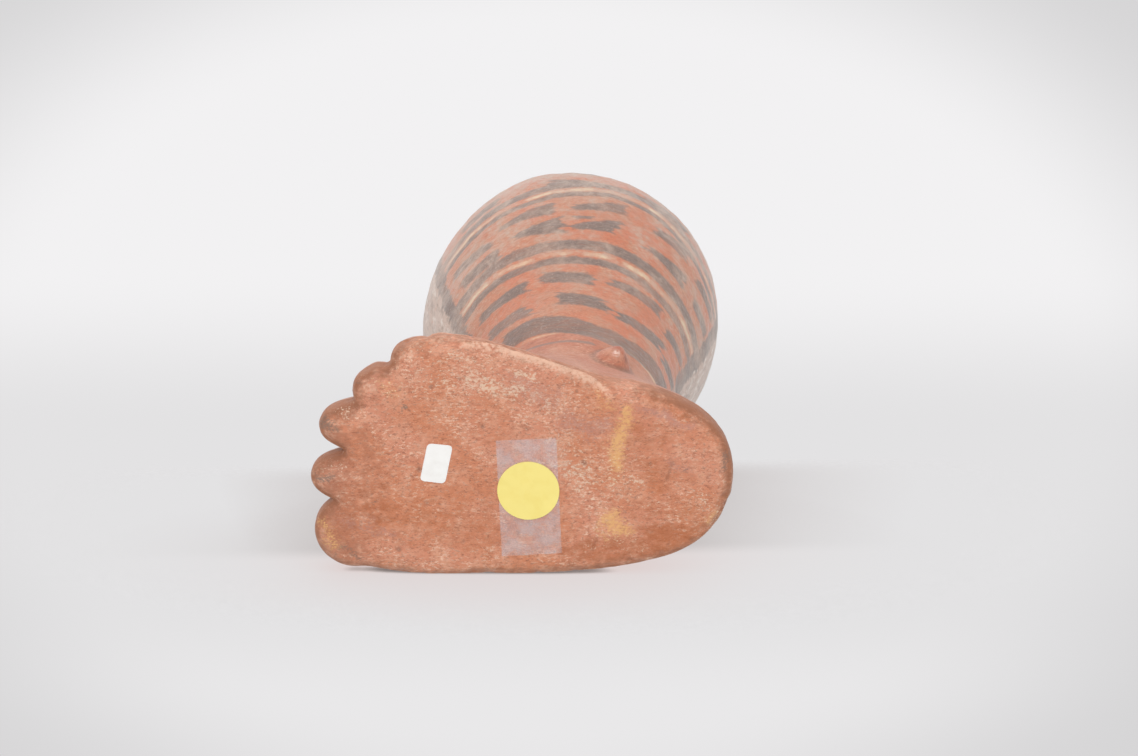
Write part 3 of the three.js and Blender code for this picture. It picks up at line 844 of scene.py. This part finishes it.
def clay_skin(n, dark, deep, middle, pale, worn):
    """Colour of plain clay, the place in millimetres and the streak noise."""
    place = place_in_mm(n)
    height = n("ShaderNodeSeparateXYZ", {0: place}, out="Z")
    along_sole = place_in_mm(n, (STREAK_WIDTH, STREAK_LENGTH, STREAK_WIDTH))
    round_leg = place_in_mm(n, (STREAK_LENGTH, STREAK_LENGTH, STREAK_WIDTH))
    rubbed = n("ShaderNodeMix", {0: soft_mask(n, height, 22, 40), 4: along_sole, 5: round_leg}, out=1,
               data_type="VECTOR")
    streaks = n("ShaderNodeTexNoise", {"Vector": rubbed, "Scale": 1, "Detail": 6, "Roughness": 0.68})
    skin = n("ShaderNodeMix", {0: mottle(n, place, CLOUD, 0.38, 0.62), 6: linear(deep), 7: linear(middle)}, out=2,
             data_type="RGBA")
    flecks = overlap(n, mottle(n, rubbed, FLECK, 0.53, 0.62, 5, 0.75), mottle(n, place, 13, 0.36, 0.66))
    skin = painted(n, skin, (
        (pale, mottle(n, place, MOTTLE, 0.46, 0.72, 6, 0.62)),
        (dark, soft_mask(n, streaks, 0.47, 0.26, 0.6)),
        (worn, soft_mask(n, streaks, 0.53, 0.72, 0.75)),
        (dark, mottle(n, rubbed, GRIT, 0.50, 0.66, 3, 0.75, 0.7)),
        (worn, overlap(n, soft_mask(n, "proud", 0.10, 0.42, 0.8), mottle(n, place, 1.1, 0.35, 0.6))),
        ("#8d6352", soft_mask(n, "proud", -0.05, -0.35, 0.8)),
        (worn, flecks),
        (worn, mottle(n, rubbed, 0.36, 0.55, 0.72, 3, 0.7, 0.5)),
        ("#7a5040", mottle(n, rubbed, 0.6, 0.66, 0.76, 5, 0.7, 0.8)),
        ("#f0dfd2", mottle(n, place, 0.7, 0.70, 0.76, 3, 0.7)),
    ))
    return skin, place, streaks


print("clay layers ready")

# %% [markdown]
# ## Bump and shader
# Grit and rubbing streaks are too fine for the mesh, so they go in as bump, with their depth in millimetres. One
# function closes every clay material: a rough dielectric with a faint sheen, because a dusty matt surface looks paler
# at a grazing angle.

# %% Close a clay material
LUMP = 2.6
GRIT_DEPTH, STREAK_DEPTH, LUMP_DEPTH = 0.14, 0.18, 0.25


def close_clay(n, skin, place, streaks, rough, sheen):
    grit = n("ShaderNodeTexNoise", {"Vector": place, "Scale": 1 / GRIT, "Detail": 3})
    lumps = n("ShaderNodeTexNoise", {"Vector": place, "Scale": 1 / LUMP, "Detail": 3})
    relief = 0.0
    for grain, depth in ((streaks, STREAK_DEPTH), (grit, GRIT_DEPTH), (lumps, LUMP_DEPTH)):
        relief = n("ShaderNodeMath", {0: grain, 1: depth, 2: relief}, operation="MULTIPLY_ADD")
    bump = n("ShaderNodeBump", {"Height": relief, "Distance": MM, "Strength": 1.0})
    n("ShaderNodeOutputMaterial", {"Surface": n("ShaderNodeBsdfPrincipled", {
        "Base Color": skin, "Roughness": rough, "Normal": bump, "IOR": 1.5, "Diffuse Roughness": 0.7,
        "Sheen Weight": sheen, "Sheen Roughness": 0.4, "Specular IOR Level": 0.35})})


print("relief up to", GRIT_DEPTH + STREAK_DEPTH + LUMP_DEPTH, "mm")

# %% [markdown]
# ## Worn slip on the sole
# The sole was slipped thinly, and the jar has stood on it ever since. The eye sees a matt, dry terracotta, with the
# patches placed above as flecks and smears. Each patch's strength is added to noise, and what rises over a threshold
# shows: a strong patch is nearly solid, a weak one is a few specks. The noise is a little longer along the foot.

# %% Worn slip on the sole
SMEAR, FINE_GRAIN, SOFT_GRAIN = (1, 1.6, 1), 0.6, 2.4
worn_sole, n = new_material("worn_slip_on_earthenware")
skin, place, streaks = clay_skin(n, "#9c5d44", "#d68e6a", "#da9679", "#e0a688", "#f0cdb4")
smear = place_in_mm(n, SMEAR)
fine = n("ShaderNodeTexNoise", {"Vector": smear, "Scale": 1 / FINE_GRAIN, "Detail": 3, "Roughness": 0.75})
soft = n("ShaderNodeTexNoise", {"Vector": smear, "Scale": 1 / SOFT_GRAIN, "Detail": 6, "Roughness": 0.7})
for name, colour, grain, share, low, high, top in (
        ("brown", "#ad6d51", soft, 0.4, 0.54, 0.92, 0.6),
        ("orange", "#ba6b3c", soft, 0.45, 0.54, 1.02, 0.55),
        ("rose", "#c08d80", fine, 0.36, 0.60, 0.88, 0.65),
        # rim: brown edge band, partly dirt and partly painted shade, a painted contact shadow along the inner edge.
        ("rim", "#a26b4f", soft, 0.6, 0.62, 1.10, 0.95),
        ("smudge", "#8f7466", fine, 0.45, 0.68, 0.94, 0.85),
        ("ochre", "#e9ba7e", fine, 0.36, 0.59, 0.92, 0.92),
        # ridge: pale crest line, partly worn slip and partly a painted highlight.
        ("ridge", "#ebc4ab", fine, 0.5, 0.76, 0.98, 0.8),
        ("chalk", "#ead2ba", fine, 0.25, 0.69, 0.81, 0.8)):
    layer = n("ShaderNodeAttribute", attribute_name=name, out="Fac")
    level = n("ShaderNodeMath", {0: layer, 1: share, 2: grain}, operation="MULTIPLY_ADD")
    skin = painted(n, skin, ((colour, soft_mask(n, level, low, high, top)),))
close_clay(n, skin, place, streaks, mottle_range(n, place, 0.5, 0.72), 0.1)
print(worn_sole.name)

# %% [markdown]
# ## Rubbed slip on the foot
# Toes, instep and ankle carry a thicker slip that was rubbed with a smooth stone before firing, so it is even, deeper
# red and a little shiny. The edge above the sole is browned, partly by dirt from handling and partly as painted shade.
# Handling has polished the ankle knobs, and each carries a painted highlight and, on its heel side, a painted shade
# with some dirt.

# %% Rubbed slip on the foot
rubbed_foot, n = new_material("rubbed_red_slip")
skin, place, streaks = clay_skin(n, "#9c5d46", "#c07a60", "#c8876b", "#cd947b", "#dbae94")
soft = n("ShaderNodeTexNoise", {"Vector": place, "Scale": 1 / SOFT_GRAIN, "Detail": 6, "Roughness": 0.7})
browned_and_shaded, ring = (n("ShaderNodeMath", {0: n("ShaderNodeAttribute", attribute_name=name, out="Fac"), 1: share, 2: soft},
                   operation="MULTIPLY_ADD") for name, share in (("rim", 0.6), ("dark_paint", 1)))
knob_mask = soft_mask(n, "knob", 0.15, 0.7)
skin = painted(n, skin, (
    # Brown band above the sole: dirt from handling and painted shade.
    ("#ac7355", soft_mask(n, browned_and_shaded, 0.66, 1.16, 0.75)),
    ("#8f7b72", soft_mask(n, ring, 0.2, 1.2, 0.8)),
    ("#a9513b", overlap(n, knob_mask, mottle(n, place, 2.2, 0.20, 0.55, 5, 0.6, 0.9))),
    # Heel side of the knob: painted shade, with some dirt.
    ("#7c4030", overlap(n, soft_mask(n, "dirt", 0.25, 0.8), mottle(n, place, 1.0, 0.30, 0.55, 4, 0.6, 0.9))),
    # Painted highlight on the knob.
    ("#f0d9cd", overlap(n, soft_mask(n, "glint", 0.2, 0.8), mottle(n, place, 0.9, 0.40, 0.56, 4, 0.65, 0.9))),
))
rough = n("ShaderNodeMapRange", {0: knob_mask, 3: 0.46, 4: 0.18})
close_clay(n, skin, place, streaks, rough, 0.2)
print(rubbed_foot.name)

# %% [markdown]
# ## Painted slip on the calf
# The calf is red slip with strokes of thin dark clay paint, pale lines and bare strips, under a grey film that grows
# towards the top: dust, and near the top also a painted sheen. A brush leaves bristle marks along the stroke and
# ragged ends. The depth in each stroke is moved by brush-shaped noise before it becomes a mask, so the edges fray as
# paint does.

# %% Painted slip on the calf
# A real bristle is about 0.2 mm thick. Its mark is drawn at 0.6 mm so that it shows.
BRISTLES, RAGGED, BRUSH_LOAD = (5, 5, 0.6), 1.6, 16
FRAY, FRAY_SHIFT = 1.9, -1.75
painted_calf, n = new_material("painted_red_slip")
skin, place, streaks = clay_skin(n, "#a96a53", "#cc7b5a", "#c78567", "#c29279", "#cfa488")
height = n("ShaderNodeSeparateXYZ", {0: place}, out="Z")
brush_place = place_in_mm(n, BRISTLES)
brush = n("ShaderNodeTexNoise", {"Vector": brush_place, "Scale": 1, "Detail": 5, "Roughness": 0.65})
ragged = n("ShaderNodeTexNoise", {"Vector": place, "Scale": 1 / RAGGED, "Detail": 5, "Roughness": 0.7})
frayed = n("ShaderNodeMath", {0: brush, 1: ragged}, operation="ADD")
frayed = n("ShaderNodeMath", {0: frayed, 1: FRAY, 2: FRAY_SHIFT}, operation="MULTIPLY_ADD")
load = n("ShaderNodeTexNoise", {"Vector": place, "Scale": 1 / BRUSH_LOAD, "Detail": 2})
load = n("ShaderNodeMath", {0: load, 1: brush}, operation="ADD")
cover = n("ShaderNodeMapRange", {0: load, 1: 0.78, 2: 1.02, 3: 0.7, 4: 1.0}, interpolation_type="SMOOTHSTEP")
edge = {}
for name, blur in (("dark_paint", 0.6), ("pale_line", 0.5), ("plain_strip", 2.0)):
    depth = n("ShaderNodeAttribute", attribute_name=name, out="Fac")
    edge[name] = soft_mask(n, n("ShaderNodeMath", {0: depth, 1: frayed}, operation="ADD"), -blur, blur)
dark, pale, strip = edge["dark_paint"], edge["pale_line"], edge["plain_strip"]
skin = painted(n, skin, (
    ("#cdb4a5", overlap(n, strip, mottle(n, place, 4, 0.20, 0.42, 5, 0.6, 0.95))),
    ("#a08373", overlap(n, strip, mottle(n, place_in_mm(n, (2, 2, 12)), 1.0, 0.46, 0.66, 5, 0.65, 0.9))),
    ("#e8dcd2", overlap(n, strip, mottle(n, place_in_mm(n, (3, 3, 10)), 1.0, 0.50, 0.68, 5, 0.7, 0.95))),
    ("#93766a", overlap(n, strip, mottle(n, place, 1.2, 0.57, 0.70, 5, 0.7, 0.8))),
    ("#cf9c80", overlap(n, pale, mottle(n, place, 6, 0.32, 0.52, 4))),
    ("#e2c9a8", overlap(n, pale, mottle(n, place, 9, 0.44, 0.60, 5, 0.6))),
    ("#806b62", overlap(n, dark, cover)),
    ("#a99184", overlap(n, dark, mottle(n, brush_place, 1.0, 0.48, 0.78, 5, 0.65, 0.85))),
    ("#bda698", overlap(n, dark, mottle(n, place, 0.8, 0.56, 0.68, 4, 0.7, 0.7))),
    ("#c6ab9a", overlap(n, mottle(n, place, 14, 0.38, 0.64, 5, 0.6, 0.85), soft_mask(n, height, 45, 105),
                        mottle(n, place, 3.0, 0.25, 0.70, 7, 0.7))),
    # Paler film at the top: partly dust and partly a painted sheen.
    ("#c6b5aa", overlap(n, soft_mask(n, height, 118, 160, 0.62), mottle(n, place, 6, 0.25, 0.70, 6, 0.65))),
    ("#b98f78", n("ShaderNodeAttribute", attribute_name="inside", out="Fac")),
))
close_clay(n, skin, place, streaks, mottle_range(n, place, 0.5, 0.68), 0.45)
print(painted_calf.name)

# %% [markdown]
# ## Mounting
# Every clay piece gets its finish and takes the place of the CAD solid of the same name. The jar is rigid, so all of
# them ride on one body.

# %% Dress and mount the pieces
PAINTED = ("ankle_wall", "lower_calf_wall", "upper_calf_wall", "rim_ring")
for name, obj in pieces.items():
    slot, finish = ("sole_clay", worn_sole) if name == "sole_slab" else ("foot_slip", rubbed_foot)
    if name in PAINTED:
        slot, finish = "painted_calf", painted_calf
    obj.data.materials.clear()
    obj.data.materials.append(finish)
    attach(obj, "root")
    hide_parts(name)
print(len(pieces), "clay pieces ride on root")

# %% [markdown]
# ## Stickers on the sole
# Three collection stickers lie on the sole: a strip of clear tape, a round yellow paper dot on the tape and a small
# white paper label. They carry no writing here. Each is a thin sheet that follows the clay: its points are dropped
# onto the sole from below, kept level like paper, and given a real thickness.

# %% Draw the outlines
DOT_CENTRE, DOT_WIDTH = (-7.8, -12.5), 19.05
TAPE_CORNERS = ((8.5, -22.3), (9.35, -3.9), (-28.4, -2.25), (-29.6, -20.8))
LABEL_CORNERS = ((7.64, -43.1), (6.85, -35.4), (-5.6, -38.0), (-4.6, -45.7))
LABEL_ROUND, TAPE_ROUND = 1.5, 0.15


def round_outline(corners, radius, steps=5):
    """A polygon with its corners rounded, as points in order."""
    outline = []
    for i in range(len(corners)):
        here, before, after = (Vector(corners[k % len(corners)]) for k in (i, i - 1, i + 1))
        start = here + (before - here).normalized() * radius
        end = here + (after - here).normalized() * radius
        for k in range(steps + 1):
            t = k / steps
            outline.append(start * (1 - t) ** 2 + here * 2 * t * (1 - t) + end * t * t)
    return outline


def finer(outline, longest):
    points = []
    for a, b in zip(outline, outline[1:] + outline[:1]):
        parts = max(1, math.ceil((b - a).length / longest))
        points += [a.lerp(b, k / parts) for k in range(parts)]
    return points


tape_outline, label_outline = (round_outline([Vector(corner) for corner in corners], radius) for corners, radius in (
    (TAPE_CORNERS, TAPE_ROUND), (LABEL_CORNERS, LABEL_ROUND)))
dot_outline = [Vector(DOT_CENTRE) + Vector((math.cos(a), math.sin(a))) * DOT_WIDTH / 2
               for a in np.linspace(0, 2 * math.pi, 72, endpoint=False)]
print("outlines of", len(tape_outline), len(dot_outline), len(label_outline), "points")

# %% Drop a sheet onto the sole
SHEET_RINGS, SHEET_STEP = 10, 1.2
sole_tree = BVHTree.FromPolygons([v.co / MM for v in pieces["sole_slab"].data.vertices],
                                 [p.vertices for p in pieces["sole_slab"].data.polygons])


def sole_height(x, y):
    hit = sole_tree.ray_cast(Vector((x, y, -30)), Vector((0, 0, 1)))[0]
    return hit.z if hit else 0.0


def sticker(name, outline, lift, thickness, material):
    """A sheet of rings of points round its centre, lift millimetres off the clay."""
    outline = finer(outline, SHEET_STEP)
    centre = sum(outline, Vector((0, 0))) / len(outline)
    flat = [centre] + [centre.lerp(p, ring / SHEET_RINGS) for ring in range(1, SHEET_RINGS + 1) for p in outline]
    ground = np.array([sole_height(p.x, p.y) for p in flat])
    plan = np.array([(p.x, p.y, 1) for p in flat])
    level = plan @ np.linalg.lstsq(plan, ground, rcond=None)[0]
    bm = bmesh.new()
    verts = [bm.verts.new(Vector((p.x, p.y, min(g, h) - lift)) * MM) for p, g, h in zip(flat, ground, level)]
    count = len(outline)
    for k in range(count):
        bm.faces.new((verts[0], verts[1 + k], verts[1 + (k + 1) % count]))
        for ring in range(SHEET_RINGS - 1):
            a, b = 1 + ring * count + k, 1 + ring * count + (k + 1) % count
            bm.faces.new((verts[a], verts[a + count], verts[b + count], verts[b]))
    bmesh.ops.recalc_face_normals(bm, faces=bm.faces)
    bmesh.ops.solidify(bm, geom=bm.faces[:], thickness=thickness * MM)
    mesh = bpy.data.meshes.new(name)
    bm.to_mesh(mesh)
    bm.free()
    mesh.materials.append(material)
    mesh.shade_smooth()
    mesh.set_sharp_from_angle(angle=SHARP)
    obj = bpy.data.objects.new(name, mesh)
    bpy.context.scene.collection.objects.link(obj)
    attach(obj, "root")
    print(name, len(mesh.polygons), "faces")


print("sole under the dot at", round(sole_height(*DOT_CENTRE), 2), "mm")

# %% [markdown]
# ## Paper and tape
# Label paper is bleached pulp, pressed flat: matt and even, with fibres of some hundredths of a millimetre, drawn at
# 0.35 mm here so that they can show. Tape is a thin clear plastic film with glue under it: smooth and glossy, with a
# milky haze where the old glue has dried. The haze is the film's alpha.

# %% Lay the stickers
FIBRE, FIBRE_DEPTH = 0.35, 0.02


def paper(name, colour, shade):
    material, n = new_material(name)
    place = place_in_mm(n)
    skin = n("ShaderNodeMix", {0: mottle(n, place, 4, 0.4, 0.75), 6: linear(colour), 7: linear(shade)}, out=2,
             data_type="RGBA")
    fibres = n("ShaderNodeTexNoise", {"Vector": place, "Scale": 1 / FIBRE, "Detail": 2})
    bump = n("ShaderNodeBump", {"Height": fibres, "Distance": FIBRE_DEPTH * MM, "Strength": 1.0})
    n("ShaderNodeOutputMaterial", {"Surface": n("ShaderNodeBsdfPrincipled", {
        "Base Color": skin, "Roughness": 0.6, "Normal": bump, "IOR": 1.5})})
    return material


tape_film, n = new_material("clear_tape")
haze = n("ShaderNodeMapRange", {0: mottle(n, place_in_mm(n), 5, 0.38, 0.62, 5, 0.6), 3: 0.11, 4: 0.25})
n("ShaderNodeOutputMaterial", {"Surface": n("ShaderNodeBsdfPrincipled", {
    "Base Color": linear("#efe6e6"), "Roughness": 0.25, "Alpha": haze, "IOR": 1.47})})

sticker("clear_tape_strip", tape_outline, 0.12, 0.06, tape_film)
sticker("yellow_dot", dot_outline, 0.30, 0.10, paper("yellow_paper", "#fce98a", "#f9e482"))
sticker("white_label", label_outline, 0.16, 0.10, paper("white_paper", "#fbf9f6", "#f6f3ef"))
